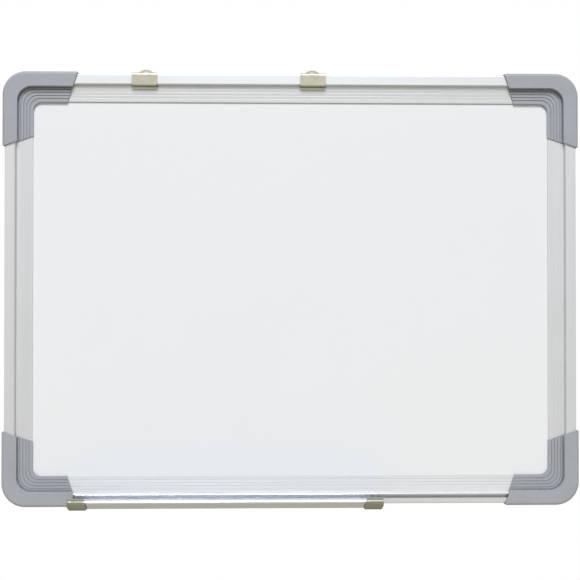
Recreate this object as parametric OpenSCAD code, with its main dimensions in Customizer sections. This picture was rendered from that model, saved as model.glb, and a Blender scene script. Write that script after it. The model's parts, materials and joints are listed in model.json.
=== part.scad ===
// Magnetic whiteboard in an aluminium frame: two sliding wall hangers clip over the top rail
// and a pen tray slides in a groove of the bottom rail.
// Front faces -Y, the wall is the plane Y = 0, and the origin is the middle of the board on it.
// Sections are drawn as [depth from the wall, distance in from the board's outer edge].

/* [Board] */
// Width over the rails
board_w = 400; // [300:5:900]
// Height over the rails
board_h = 300; // [200:5:600]
// Thickness of the lacquered steel writing sheet
sheet_t = 0.4; // [0.3:0.05:0.8]
// Thickness of the fibre core
core_t = 7.6; // [6:0.1:12]
// Thickness of the galvanised sheet behind the core
back_sheet_t = 0.3; // [0.2:0.05:0.8]

/* [Rails] */
// Width of a rail's face, from its outer edge to the lip on the sheet
face_w = 19; // [17:0.1:26]
// Width of the raised outer ridge
ridge_w = 7.2; // [7:0.1:10]
// Height of the ridge above the ribs beside it
ridge_step = 3; // [2.6:0.1:6]
// Slant of the ridge's inner side
ridge_slant = 0.8; // [0.4:0.1:1.6]
// Wall of the extrusion
rail_t = 1; // [0.8:0.05:1.2]
// Fall of the ribbed slope towards the sheet
slope_fall = 1.25; // [0.8:0.05:2]
// Thickness of the lip where it ends on the sheet
lip_t = 0.9; // [0.8:0.05:1.6]
// Number of ribs on the slope
rib_count = 5; // [3:1:7]
// Depth of the fine groove between two ribs of a rail
rib_depth = 0.06; // [0.04:0.02:0.3]
// Depth of the fine groove between two ribs of a cap
cap_rib_depth = 0.12; // [0.06:0.02:0.4]
// Width of the fine groove between two ribs
rib_gap = 0.5; // [0.3:0.05:0.8]
// Reach of the flange behind the panel
flange_w = 9; // [5:0.5:12]
// Rounding of the ridge's front edges
ridge_edge_r = 0.7; // [0.4:0.1:1.6]

/* [Tray groove] */
// Height of the groove's mouth above the board's lower edge
mouth_low = 3.7; // [3.2:0.1:3.8]
// Opening of the groove's mouth
mouth_h = 1.9; // [1.7:0.1:2]
// Thickness of the lip that the hook goes behind
groove_lip_t = 1.1; // [0.8:0.1:1.4]
// Depth of the groove behind the lip
groove_depth = 1.8; // [1.7:0.1:2.4]

/* [Corner caps] */
// Length of each arm's outer edge, from the board's corner
arm_len = 50.8; // [46:0.2:70]
// Slant of the arm ends
arm_slant = 20; // [0:1:25]
// Wall of the cap outside the rail
cap_side_t = 1.45; // [1:0.05:2.5]
// Skin of the cap over the ridge
cap_skin_t = 1.35; // [1:0.05:2.5]
// Skin of the cap over the ribs
cap_rib_skin_t = 0.75; // [0.7:0.05:1.4]
// Skin of the cap behind the rail
cap_back_t = 1.4; // [1.2:0.05:2.4]
// Outer corner radius
cap_outer_r = 16.5; // [12:0.5:20]
// Radius of the step beside the ridge at the corner
cap_step_r = 10; // [7:0.5:14]
// Radius of the cap's inner edge at the corner
cap_inner_r = 6; // [3:0.5:8]
// Rounding of the cap's outer front edge
cap_edge_r = 2; // [0.8:0.1:2.6]
// Width of the slant on the inner side of the cap's ridge
cap_slant = 0.3; // [0.2:0.1:1.6]
// Distance from the board's corner to the square-cut rail ends
rail_inset = 26; // [24:0.5:30]
// Length of the tongue inside each rail
tongue_len = 18; // [14:0.5:19]

/* [Corner screws] */
// Distance from the rail's end to the screw
screw_in = 10; // [7:0.5:10]
// Radius of the thread
screw_r = 1.45; // [1.2:0.05:1.6]
// Radius of the head
screw_head_r = 2.5; // [2:0.1:2.6]
// Height of the head
screw_head_h = 1.8; // [1.4:0.1:2.2]
// Length under the head
screw_len = 8; // [6.5:0.1:9]

/* [Wall hangers] */
// Width of a hanger
hanger_w = 17.5; // [15:0.5:30]
// Thickness of the spring steel
hanger_t = 0.8; // [0.6:0.05:1.2]
// Room for the head of the nail between the eye and the clip
nail_room = 3.2; // [2.6:0.1:4]
// Radius of the hole in the eye
eye_hole_r = 4.6; // [3:0.1:4.8]
// Width of the ring over the hole
eye_band = 1.4; // [1:0.1:2.5]
// How much wider the ring is at its sides than over the hole
eye_shoulder = 1.2; // [0:0.1:1.5]
// Height of the eye's centre, down from the board's upper edge
eye_drop = 0.4; // [-3:0.1:0.4]
// Gap between the eye and the wall
eye_wall_gap = 1; // [0.5:0.1:2]
// Reach of the foot on the ribs below the ridge
foot_reach = 2; // [0.8:0.1:3]
// Distance from the left caps' arm to the left hanger
left_hanger_in = 37.45; // [1:0.05:60]
// Distance from the right caps' arm to the right hanger
right_hanger_in = 125.65; // [1:0.05:130]

/* [Pen tray] */
// Length of the tray extrusion
tray_len = 209.5; // [120:0.5:280]
// Distance from the left cap's arm to the tray's strip
tray_start = 0.35; // [0.35:0.05:90]
// Depth of the tray in front of the ridge
tray_reach = 25.5; // [18:0.5:40]
// Wall of the tray extrusion
tray_t = 1; // [0.8:0.05:1.2]
// Height of the front lip
tray_lip_h = 6.4; // [5.4:0.1:8]
// Radius of the lip's rounded nose
nose_r = 2.3; // [2:0.1:2.6]
// Radius of the turn from the floor into the lip
heel_r = 1.3; // [1.2:0.1:2]
// Height of the tray's underside above the board's lower edge
tray_lift = 0.4; // [-0.3:0.1:0.8]
// Thickness of the strip along the top of the tray's back wall
strip_t = 2.2; // [1.4:0.1:3]
// Height of the strip
strip_h = 3.1; // [1.6:0.1:3.6]
// Part of the back wall that is cut away at each end
strip_notch = 1.6; // [1.5:0.1:3]
// Thickness of an end cap's closing wall
end_wall_t = 2.6; // [1.5:0.1:4]
// Length of an end cap's sleeve along the lip's underside
end_sleeve_len = 11; // [6:0.5:14]
// Slant of the sleeve's inner end, which is shorter at the top
end_slant = 18; // [0:1:25]
// Wall of an end cap's sleeve in front of the lip
end_sleeve_t = 0.8; // [0.7:0.1:1.6]

/* [Fits] */
// Gap between a cap and the rail inside it
fit_gap = 0.15; // [0.1:0.05:0.2]
// Gap between the panel and what holds it
panel_gap = 0.1; // [0.05:0.05:0.2]
// Gap between a hanger and its rail
hanger_gap = 0.2; // [0.15:0.05:0.25]
// Gap between the tray and the bottom rail
tray_gap = 0.2; // [0.15:0.05:0.25]
// Gap between the tray's lip and the end caps on it
end_fit = 0.1; // [0.05:0.05:0.2]
// Gap between a screw's thread and its pilot hole
pilot_gap = 0.05; // [0.02:0.01:0.1]
// Gap round a screw's head and under the cap's screw hole
clear_gap = 0.25; // [0.2:0.05:0.3]

/* [Hidden] */
$fn = 64;

eps = 0.01;
// How far a cut runs out of the face that it starts from
over = 1;
// Longer than any cut that has to run right through
past = 100;

// Depths from the wall
flange_back = cap_back_t + fit_gap;
panel_back = flange_back + rail_t + panel_gap;
core_back = panel_back + back_sheet_t;
sheet_back = core_back + core_t;
sheet_front = sheet_back + sheet_t;
lip_back = sheet_front + panel_gap;
slope_low = lip_back + lip_t;
slope_high = slope_low + slope_fall;
ridge_front = slope_high + ridge_step;
clip_back = eye_wall_gap + hanger_t + nail_room;
chamber_back = clip_back + hanger_t + hanger_gap;
groove_undercut = 0.6;
groove_skin = 0.3;
groove_front = ridge_front - groove_lip_t;
groove_back = groove_front - groove_depth;
cap_front = ridge_front + fit_gap + cap_skin_t;

// Distances in from the board's outer edge
panel_edge = ridge_w + panel_gap;
groove_low = mouth_low - groove_undercut;
groove_high = ridge_w - groove_skin;
ribs_from = ridge_w + ridge_slant;
rib_pitch = (face_w - ribs_from) / rib_count;
rib_drop = slope_fall / rib_count;
crest_fall = 0.9 * rib_drop;

// Corner caps
cap_proud = cap_side_t + fit_gap;
cap_step_skin = 0.8;
cap_step_foot = 0.5;
cap_over_lip = 0.3;
cap_step_in = ribs_from + fit_gap + cap_step_skin;
cap_slant_high = ridge_step - cap_step_foot;
cap_inner_in = face_w + cap_over_lip;
cap_rib_pitch = (cap_inner_in - cap_step_in) / rib_count;
cap_rib_high = slope_high + fit_gap + cap_rib_skin_t;
cap_fillet_step = (cap_step_r - cap_inner_r) / rib_count;
screw_at = rail_inset + screw_in;
screw_in_from_edge = (ridge_w - rail_t) / 2;
screw_seat = screw_head_h + clear_gap;

// Tray, as [depth from the wall, height above the board's lower edge]
tray_x = -board_w / 2 + arm_len + tray_start - strip_notch + tray_len / 2;
tray_back = ridge_front + tray_gap;
lip_at = ridge_front + tray_reach - nose_r;
nose_rise = tray_lift + tray_lip_h - nose_r;
heel_rise = tray_lift + heel_r;
hook_gap = tray_gap + 0.05;
hook_low = mouth_low + hook_gap;
hook_top = groove_high - groove_skin;
// How much lower an end cap sits than the lip in it
end_sag = 0.3;
end_bottom = tray_lift - end_sleeve_t - end_sag;
hook_back = groove_back + hook_gap;
hook_front = groove_front - 2 * tray_gap;
strip_top = ridge_w;
// Gap between the tray's end caps and the corner caps that they pass in front of
cap_pass = 0.3;
cap_clear = cap_front + cap_pass;

// Wall hangers
left_hanger_x = -board_w / 2 + arm_len + left_hanger_in + hanger_w / 2;
right_hanger_x = board_w / 2 - arm_len - right_hanger_in - hanger_w / 2;
clip_front = ridge_front + hanger_gap;
clip_low = ridge_w + hanger_gap;
foot_back = slope_high + hanger_gap;
foot_low = clip_low + ridge_slant;
// Where the clip ends and the narrower strip to the eye begins
eye_root = 3.4;
eye_ring_r = eye_hole_r + eye_band + eye_shoulder;

function rib_edge(i) = ribs_from + i * rib_pitch;
function rib_top(i) = slope_high - i * rib_drop;
function cap_rib_edge(i) = cap_step_in + i * cap_rib_pitch;
function cap_rib_top(i) = cap_rib_high - i * rib_drop;
function cap_rib_r(i) = cap_step_r - i * cap_fillet_step;

// ---- Placing ----

// A section, drawn as [depth, height], run along X
module along_x(len) {
    rotate([90, 0, -90]) linear_extrude(len, center = true) children();
}

// A front view, drawn as [X, Z], raised from the wall towards the front
module from_wall() {
    rotate([90, 0, 0]) children();
}

module at_bottom() {
    translate([0, 0, -board_h / 2]) children();
}

module at_top() {
    mirror([0, 0, 1]) at_bottom() children();
}

module at_left() {
    translate([-board_w / 2, 0, 0]) rotate([0, 90, 0]) children();
}

// Both arms of a corner, which are mirror images across its diagonal
module both_arms() {
    children();
    mirror([1, -1, 0]) children();
}

// A section, drawn as [depth, distance in], run along a corner's first arm
module along_arm(from, to) {
    translate([to, 0, 0]) rotate([0, -90, 0]) linear_extrude(to - from) children();
}

// ---- Panel ----

module panel_layer(back, thickness) {
    w = board_w - 2 * panel_edge;
    h = board_h - 2 * panel_edge;
    translate([-w / 2, -back - thickness, -h / 2]) cube([w, thickness, h]);
}

module writing_sheet() {
    color([0.95, 0.96, 0.97]) panel_layer(sheet_back, sheet_t);
}

module core_board() {
    color([0.72, 0.62, 0.46]) panel_layer(core_back, core_t);
}

module back_sheet() {
    color([0.66, 0.68, 0.7]) panel_layer(panel_back, back_sheet_t);
}

// ---- Rails ----

// A block whose two front edges are rounded
module round_front(back, front, low, high, r) {
    translate([back, low]) square([front - back - r, high - low]);
    translate([back, low + r]) square([front - back, high - low - 2 * r]);
    for (at = [low + r, high - r])
        translate([front - r, at]) circle(r);
}

// The ribbed lip: each rib falls a little, and a fine groove parts it from the next
module ribbed_lip() {
    last = rib_count - 1;
    ribs = [for (i = [0:last]) let (
            start = rib_edge(i),
            end = rib_edge(i + 1) - (i < last ? rib_gap : 0),
            top = rib_top(i),
            floor = rib_top(i + 1) - rib_depth
        ) each i < last
            ? [[top, start], [top - crest_fall, end], [floor, end], [floor, end + rib_gap]]
            : [[top, start], [top - crest_fall, end]]];
    polygon(concat([[lip_back, ridge_w - rail_t], [slope_high, ridge_w - rail_t]],
        ribs, [[lip_back, face_w]]));
}

// What fills the slant from the ridge's front down to the first rib
module slant_section(top, low, from, slant, back) {
    polygon([[top, from - eps], [low, from + slant], [back, from + slant], [back, from - eps]]);
}

module rail_solid_section() {
    round_front(chamber_back, ridge_front, 0, ridge_w, ridge_edge_r);
    slant_section(ridge_front - ridge_edge_r, slope_high, ridge_w, ridge_slant, lip_back);
    translate([flange_back, ridge_w - rail_t]) square([slope_high - flange_back, rail_t]);
    translate([flange_back, ridge_w - rail_t]) square([rail_t, flange_w]);
    ribbed_lip();
}

module chamber_section(front) {
    translate([chamber_back + rail_t, rail_t])
        square([front - chamber_back - rail_t, ridge_w - 2 * rail_t]);
}

module plain_rail_section() {
    difference() {
        rail_solid_section();
        chamber_section(ridge_front - rail_t);
    }
}

// The bottom rail's ridge has an undercut groove, whose upper lip is bevelled
module grooved_rail_section() {
    mouth_top = mouth_low + mouth_h;
    difference() {
        rail_solid_section();
        chamber_section(groove_back - rail_t);
        translate([groove_back, groove_low])
            square([groove_depth, groove_high - groove_low]);
        translate([groove_back, mouth_low]) square([past, mouth_h]);
        polygon([[ridge_front - groove_lip_t / 2, mouth_top], [ridge_front + eps, groove_high],
            [ridge_front + over, mouth_top]]);
    }
}

// The pilot holes of one rail, for the screws at its two ends
module rail_pilots(len) {
    for (side = [-1, 1])
        translate([side * (len / 2 - screw_in), -chamber_back - rail_t - over / 2,
            screw_in_from_edge])
            rotate([-90, 0, 0]) cylinder(h = rail_t + over, r = screw_r + pilot_gap);
}

module rail(len, grooved = false) {
    difference() {
        along_x(len) {
            if (grooved) grooved_rail_section();
            else plain_rail_section();
        }
        rail_pilots(len);
    }
}

module top_rail() {
    color([0.87, 0.88, 0.9]) at_top() rail(board_w - 2 * rail_inset);
}

module bottom_rail() {
    color([0.87, 0.88, 0.9]) at_bottom() rail(board_w - 2 * rail_inset, grooved = true);
}

module left_rail() {
    color([0.84, 0.85, 0.87]) at_left() rail(board_h - 2 * rail_inset);
}

module right_rail() {
    color([0.84, 0.85, 0.87]) mirror([1, 0, 0]) at_left() rail(board_h - 2 * rail_inset);
}

// ---- Corner caps, drawn for the lower left corner with the board's corner at 0 ----

// All that lies at least this far in from both outer edges, its corner rounded
module inside_of(in, r) {
    translate([in + r, in]) square(past);
    translate([in, in + r]) square(past);
    translate([in + r, in + r]) circle(r);
}

// The slanted arm ends bound the cap
module arm_limits() {
    fall = tan(arm_slant);
    cross = (arm_len - cap_proud * fall) / (1 + fall);
    chamfer = 1.2;
    polygon([[-cap_proud, -cap_proud], [arm_len - chamfer, -cap_proud],
        [arm_len - chamfer * fall / 2, -cap_proud + chamfer / 2], [cross, cross],
        [-cap_proud + chamfer / 2, arm_len - chamfer * fall / 2],
        [-cap_proud, arm_len - chamfer]]);
}

// A strip as wide as the outer radius, its outer front edge rounded
module cap_edge_section() {
    r = cap_edge_r;
    polygon([[0, 0], [cap_front - r, 0], [cap_front - r, r], [cap_front, r],
        [cap_front, cap_outer_r], [0, cap_outer_r]]);
    translate([cap_front - r, r]) circle(r);
}

module cap_outer() {
    centre = cap_outer_r - cap_proud;
    both_arms() along_arm(centre, arm_len + over) translate([0, -cap_proud]) cap_edge_section();
    translate([centre, centre, 0]) rotate([0, 0, 180]) rotate_extrude(angle = 90, $fn = 96)
        translate([cap_outer_r, 0]) rotate([0, 0, 90]) cap_edge_section();
}

// Slants the ridge's inner side
module step_slant() {
    round_from = cap_step_in + cap_step_r;
    reach = cap_slant * (over + cap_slant_high) / cap_slant_high;
    both_arms() along_arm(round_from, arm_len + over)
        polygon([[cap_front - cap_slant_high, cap_step_in + eps],
            [cap_front + over, cap_step_in + eps], [cap_front + over, cap_step_in - reach]]);
    translate([round_from, round_from, 0]) rotate([0, 0, 180])
        rotate_extrude(angle = 90, $fn = 96)
            polygon([[cap_step_r - eps, cap_front - cap_slant_high],
                [cap_step_r - eps, cap_front + over], [cap_step_r + reach, cap_front + over]]);
}

module cap_ridge() {
    difference() {
        cap_outer();
        translate([0, 0, -over]) linear_extrude(past) inside_of(cap_step_in, cap_step_r);
        step_slant();
    }
}

// The ribs follow the corner, and fall towards the sheet as the rails' do
module cap_ribs() {
    difference() {
        for (i = [0:rib_count - 1])
            linear_extrude(cap_rib_top(i)) difference() {
                inside_of(0.5, cap_outer_r - cap_proud - 0.5);
                inside_of(cap_rib_edge(i + 1), cap_rib_r(i + 1));
            }
        for (i = [1:rib_count - 1])
            translate([0, 0, cap_rib_top(i) - cap_rib_depth]) linear_extrude(past) difference() {
                inside_of(cap_rib_edge(i) - rib_gap, cap_rib_r(i) + rib_gap / 2);
                inside_of(cap_rib_edge(i), cap_rib_r(i));
            }
    }
}

module cap_envelope() {
    intersection() {
        linear_extrude(cap_front) arm_limits();
        union() {
            cap_ridge();
            cap_ribs();
        }
    }
}

// The room for one rail
module rail_room() {
    along_arm(rail_inset, past) {
        translate([chamber_back - fit_gap, -fit_gap])
            square([ridge_front - chamber_back + 2 * fit_gap, ridge_w + 2 * fit_gap]);
        polygon([[flange_back - fit_gap, ridge_w - rail_t - fit_gap],
            [ridge_front - ridge_edge_r, ridge_w - rail_t - fit_gap],
            [ridge_front - ridge_edge_r, ridge_w + fit_gap],
            [slope_high + fit_gap, ribs_from + fit_gap],
            [slope_low + fit_gap, face_w], [slope_low + fit_gap, face_w + fit_gap],
            [sheet_front + fit_gap, face_w + fit_gap], [sheet_front + fit_gap, past],
            [flange_back - fit_gap, past]]);
    }
}

module panel_room() {
    translate([panel_edge - fit_gap, panel_edge - fit_gap, panel_back - fit_gap])
        cube([past, past, sheet_front - panel_back + 2 * fit_gap]);
}

// The corner is cored out from behind
module core_pocket() {
    wall = 1.6;
    outer = wall - cap_proud;
    inner = panel_edge - fit_gap - wall;
    reach = rail_inset - wall;
    translate([0, 0, -over]) linear_extrude(slope_low + over) intersection() {
        difference() {
            inside_of(outer, cap_outer_r - wall);
            inside_of(inner, cap_step_r);
        }
        translate([-past / 2, -past / 2]) square(past / 2 + reach);
    }
}

module tongue() {
    back = chamber_back + rail_t + fit_gap;
    front = groove_back - rail_t - fit_gap;
    low = rail_t + fit_gap;
    along_arm(rail_inset - over, rail_inset + tongue_len)
        translate([back, low]) square([front - back, ridge_w - 2 * low]);
}

// The head's seat, the clearance hole and the pilot hole of one arm's screw
module cap_screw_hole() {
    translate([screw_at, screw_in_from_edge, 0]) {
        translate([0, 0, -over]) cylinder(h = over + screw_seat, r = screw_head_r + clear_gap);
        translate([0, 0, -over]) cylinder(h = over + chamber_back, r = screw_r + clear_gap);
        translate([0, 0, chamber_back]) cylinder(h = past, r = screw_r + pilot_gap);
    }
}

module cap_shape() {
    from_wall() difference() {
        union() {
            difference() {
                cap_envelope();
                both_arms() rail_room();
                panel_room();
                core_pocket();
            }
            both_arms() tongue();
        }
        both_arms() cap_screw_bore();
    }
}

// The screw's bore stays behind the skin over the ridge
module cap_screw_bore() {
    intersection() {
        cap_screw_hole();
        translate([0, 0, -past]) cube([past, past, past + ridge_front]);
    }
}

module at_corner(side_x, side_z) {
    mirror([side_x > 0 ? 1 : 0, 0, 0]) mirror([0, 0, side_z > 0 ? 1 : 0])
        translate([-board_w / 2, 0, -board_h / 2]) children();
}

module cap(side_x, side_z) {
    color([0.66, 0.68, 0.72]) at_corner(side_x, side_z) cap_shape();
}

module corner_cap_top_left() {
    cap(-1, 1);
}

module corner_cap_top_right() {
    cap(1, 1);
}

module corner_cap_bottom_left() {
    cap(-1, -1);
}

module corner_cap_bottom_right() {
    cap(1, -1);
}

// ---- Corner screws ----

// A pan-head screw with a cross recess, its head towards the wall
module screw() {
    slot = 0.7;
    recess = 0.6 * screw_head_h;
    tip = 1.5;
    edge_r = 0.6;
    difference() {
        union() {
            translate([0, 0, clear_gap]) rotate_extrude() difference() {
                square([screw_head_r, screw_head_h]);
                translate([screw_head_r - edge_r, -eps]) square([over, edge_r]);
            }
            translate([0, 0, clear_gap + edge_r]) rotate_extrude() intersection() {
                translate([screw_head_r - edge_r, 0]) circle(edge_r);
                translate([0, -over]) square([screw_head_r, over + eps]);
            }
            translate([0, 0, screw_seat - eps]) cylinder(h = screw_len - tip, r = screw_r);
            translate([0, 0, screw_seat + screw_len - tip - eps])
                cylinder(h = tip, r1 = screw_r, r2 = screw_r / 4);
        }
        for (turn = [0, 90])
            rotate([0, 0, turn]) translate([-screw_head_r * 0.6, -slot / 2, clear_gap - over])
                cube([screw_head_r * 1.2, slot, recess + over]);
    }
}

module corner_screws(side_x, side_z) {
    color([0.7, 0.7, 0.68]) at_corner(side_x, side_z) from_wall() both_arms()
        translate([screw_at, screw_in_from_edge, 0]) screw();
}

module corner_screws_top_left() {
    corner_screws(-1, 1);
}

module corner_screws_top_right() {
    corner_screws(1, 1);
}

module corner_screws_bottom_left() {
    corner_screws(-1, -1);
}

module corner_screws_bottom_right() {
    corner_screws(1, -1);
}

// ---- Wall hangers ----

module round_box(back, front, low, high, r) {
    translate([back, low + r]) square([front - back, high - low - 2 * r]);
    translate([back + r, low]) square([front - back - 2 * r, high - low]);
    for (at_depth = [back + r, front - r])
        for (at_side = [low + r, high - r])
            translate([at_depth, at_side]) circle(r);
}

// A strip bent round a box, as thick as the hanger's steel
module bent_round(back, front, low, high) {
    bend = 0.6;
    difference() {
        round_box(back - hanger_t, front + hanger_t, low - hanger_t, high + hanger_t,
            bend + hanger_t);
        round_box(back, front, low, high, bend);
    }
}

// The clip goes round the ridge, down its slant, and stands with a foot on the ribs
module clip_section() {
    slant_t = hanger_t / cos(atan(ridge_slant / ridge_step));
    difference() {
        bent_round(chamber_back - hanger_gap, clip_front, -hanger_gap, 3 * ridge_w);
        translate([-past, clip_low]) square([2 * past, past]);
        translate([-past, eye_root]) square([past + chamber_back + over, past]);
    }
    difference() {
        union() {
            translate([clip_front, clip_low]) circle(hanger_t);
            polygon([[clip_front, clip_low], [clip_front, clip_low + slant_t],
                [foot_back, foot_low + slant_t], [foot_back, foot_low]]);
            translate([foot_back, foot_low]) square([hanger_t, foot_reach]);
        }
        polygon([[clip_front, clip_low], [foot_back, foot_low], [foot_back - over, foot_low],
            [foot_back - over, clip_low - hanger_t - over],
            [clip_front, clip_low - hanger_t - over]]);
    }
}

// The strip behind the clip turns back on itself and rises to the eye
module riser_section() {
    turn = ridge_w - rail_t - hanger_t - 1.5 * hanger_gap;
    intersection() {
        bent_round(eye_wall_gap + hanger_t, clip_back, -past, turn);
        translate([0, eye_root - eps]) square(past);
    }
}

module eye_plate() {
    translate([0, -eye_wall_gap, 0]) from_wall() linear_extrude(hanger_t) difference() {
        translate([0, eye_drop + eye_shoulder]) circle(eye_ring_r);
        translate([-eye_ring_r, eye_root]) square(2 * eye_ring_r);
        translate([0, eye_drop]) circle(eye_hole_r);
    }
}

module hanger(at) {
    color([0.72, 0.71, 0.66]) translate([at, 0, board_h / 2]) mirror([0, 0, 1]) difference() {
        union() {
            along_x(hanger_w) clip_section();
            along_x(2 * eye_ring_r) riser_section();
            eye_plate();
        }
        translate([0, -eye_wall_gap - hanger_t - eps, eye_drop]) rotate([-90, 0, 0])
            cylinder(h = hanger_t + over, r = eye_hole_r);
    }
}

module left_hanger() {
    hanger(left_hanger_x);
}

module right_hanger() {
    hanger(right_hanger_x);
}

// ---- Pen tray ----

// The hook behind the groove's lip, and the web that reaches it through the mouth
module hook_section() {
    translate([hook_back, hook_low]) square([hook_front - hook_back, hook_top - hook_low]);
    translate([hook_back, hook_low]) square([tray_back - hook_back + eps, tray_t]);
}

// The strip on the ridge's face, and the thinner wall down to the floor
module tray_wall_section() {
    translate([tray_back, strip_top - strip_h]) square([strip_t, strip_h]);
    translate([tray_back, tray_lift]) square([tray_t, strip_top - tray_lift]);
}

// The lip's outline, offset outwards: a nose over a smaller heel, with flat sides between them
module lip_outline(offset) {
    lean = asin((nose_r - heel_r) / (nose_rise - heel_rise));
    nose = nose_r + offset;
    heel = heel_r + offset;
    nose_low = nose_rise - nose * sin(lean);
    heel_low = heel_rise - heel * sin(lean);
    translate([lip_at, nose_rise]) circle(nose);
    translate([lip_at, heel_rise]) circle(heel);
    polygon([[lip_at - nose * cos(lean), nose_low], [lip_at - heel * cos(lean), heel_low],
        [lip_at + heel * cos(lean), heel_low], [lip_at + nose * cos(lean), nose_low]]);
}

// The floor and the front lip, which leans out over its heel and curls in at the top
module tray_floor_section() {
    curl = 55;
    translate([tray_back, tray_lift]) square([lip_at - tray_back, tray_t]);
    difference() {
        lip_outline(0);
        lip_outline(-tray_t);
        translate([lip_at, nose_rise])
            polygon([[0, 0], [0, -past], [-past, -past], [-past, past * cos(curl)],
                [-past * sin(curl), past * cos(curl)]]);
    }
}

module pen_tray() {
    strip_len = tray_len - 2 * strip_notch;
    color([0.85, 0.86, 0.88]) translate([tray_x, 0, 0]) at_bottom() {
        difference() {
            along_x(tray_len) {
                hook_section();
                tray_wall_section();
                tray_floor_section();
            }
            for (side = [-1, 1])
                translate([side * (strip_len + past) / 2, -cap_clear / 2, 0])
                    cube([past, cap_clear, past], center = true);
        }
    }
}

// The closing wall: its front follows the lip, and its top falls towards the rail
module end_wall_section() {
    translate([0, -end_sag]) lip_outline(end_sleeve_t);
    polygon([[cap_clear, end_bottom], [lip_at, end_bottom],
        [lip_at, nose_rise + nose_r + end_sleeve_t - end_sag], [cap_clear, hook_low]]);
}

// The sleeve round the lip's top, front and underside
module end_sleeve_section() {
    difference() {
        union() {
            translate([0, -end_sag]) lip_outline(end_sleeve_t);
            translate([lip_at - 2 * nose_r, end_bottom]) square([2 * nose_r, tray_lip_h / 2]);
        }
        lip_outline(end_fit);
        translate([lip_at - past, tray_lift - end_fit]) square([past, past]);
    }
}

// A front view of the cap: its outer foot is drawn in, and the sleeve's inner end slants
module end_cap_front() {
    foot = 1.4;
    heel = 1.2;
    low = end_bottom - eps;
    high = tray_lip_h + 2 * end_sleeve_t + over;
    polygon([[heel - end_sleeve_len, low], [end_wall_t - foot, low],
        [end_wall_t, low + 2 * foot], [end_wall_t, low + high],
        [(high - heel) * tan(end_slant) - end_sleeve_len, low + high],
        [-end_sleeve_len, low + heel]]);
}

// Drawn for the right end; the tray's end face is at 0
module end_cap_shape() {
    plug_len = end_sleeve_len / 2;
    intersection() {
        union() {
            translate([end_wall_t / 2, 0, 0]) along_x(end_wall_t) end_wall_section();
            translate([-end_sleeve_len / 2, 0, 0]) along_x(end_sleeve_len + 2 * eps)
                end_sleeve_section();
            translate([-plug_len / 2, -lip_at, nose_rise])
                along_x(plug_len + 2 * eps) circle(nose_r - tray_t - end_fit);
        }
        from_wall() linear_extrude(past) end_cap_front();
    }
}

module tray_left_end_cap() {
    color([0.55, 0.56, 0.55]) translate([tray_x - tray_len / 2, 0, 0]) at_bottom()
        mirror([1, 0, 0]) end_cap_shape();
}

module tray_right_end_cap() {
    color([0.55, 0.56, 0.55]) translate([tray_x + tray_len / 2, 0, 0]) at_bottom()
        end_cap_shape();
}

writing_sheet();
core_board();
back_sheet();
top_rail();
bottom_rail();
left_rail();
right_rail();
corner_cap_top_left();
corner_cap_top_right();
corner_cap_bottom_left();
corner_cap_bottom_right();
corner_screws_top_left();
corner_screws_top_right();
corner_screws_bottom_left();
corner_screws_bottom_right();
left_hanger();
right_hanger();
pen_tray();
tray_left_end_cap();
tray_right_end_cap();
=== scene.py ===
"""A framed magnetic whiteboard with wall hangers and a pen tray, dressed over its CAD frame."""

import json
import math

import bmesh
import bpy
from bpy.props import FloatProperty, FloatVectorProperty, IntProperty, PointerProperty
from bpy.types import Operator, Panel, PropertyGroup
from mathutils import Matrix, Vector


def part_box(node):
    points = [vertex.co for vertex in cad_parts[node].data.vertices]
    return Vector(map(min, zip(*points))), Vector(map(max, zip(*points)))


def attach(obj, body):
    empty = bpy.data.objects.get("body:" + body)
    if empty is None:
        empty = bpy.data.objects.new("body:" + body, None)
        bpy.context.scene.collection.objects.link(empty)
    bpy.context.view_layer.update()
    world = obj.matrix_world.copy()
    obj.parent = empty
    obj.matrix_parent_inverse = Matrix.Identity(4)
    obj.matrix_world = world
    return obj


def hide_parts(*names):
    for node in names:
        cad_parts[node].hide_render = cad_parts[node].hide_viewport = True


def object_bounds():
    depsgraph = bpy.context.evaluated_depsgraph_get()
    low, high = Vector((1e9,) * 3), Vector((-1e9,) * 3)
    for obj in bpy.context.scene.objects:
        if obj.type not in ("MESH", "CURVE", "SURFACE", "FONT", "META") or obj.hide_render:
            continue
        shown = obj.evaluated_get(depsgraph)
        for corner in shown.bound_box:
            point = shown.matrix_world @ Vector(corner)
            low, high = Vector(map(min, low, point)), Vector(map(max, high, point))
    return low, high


bl_info = {
    "name": "Framed Magnetic Whiteboard",
    "version": (1, 0, 0),
    "blender": (4, 5, 0),
    "location": "View3D > Sidebar > Whiteboard",
    "description": "Finishes, softened edges and a plain studio for a framed whiteboard",
    "category": "Object",
}

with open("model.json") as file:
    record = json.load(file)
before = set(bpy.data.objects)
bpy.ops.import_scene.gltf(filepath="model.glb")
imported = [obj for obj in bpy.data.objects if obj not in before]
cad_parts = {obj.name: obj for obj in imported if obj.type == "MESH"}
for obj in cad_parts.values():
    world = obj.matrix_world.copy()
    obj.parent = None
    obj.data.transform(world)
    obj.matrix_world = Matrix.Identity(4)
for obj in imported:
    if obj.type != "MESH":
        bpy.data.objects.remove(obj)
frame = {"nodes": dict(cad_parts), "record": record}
NODES = frame["nodes"]
CAD_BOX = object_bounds()

MM = 0.001

CORNERS = ("top_left", "top_right", "bottom_left", "bottom_right")
SIDEWAYS_RAILS = ("top_rail", "bottom_rail")
UPRIGHT_RAILS = ("left_rail", "right_rail")
HANGERS = ("left_hanger", "right_hanger")
TRAY_CAPS = ("tray_left_end_cap", "tray_right_end_cap")

# Vertices closer than WELD are made one, faces that meet within FLAT are joined, and an edge whose
# faces meet at CREASE or more is sharp
WELD = 2e-6
FLAT = math.radians(0.5)
CREASE = math.radians(28)

# Where the slanted arm ends start: this part of a corner cap's width from its outer corner
ARM_END_FROM = 0.78
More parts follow.
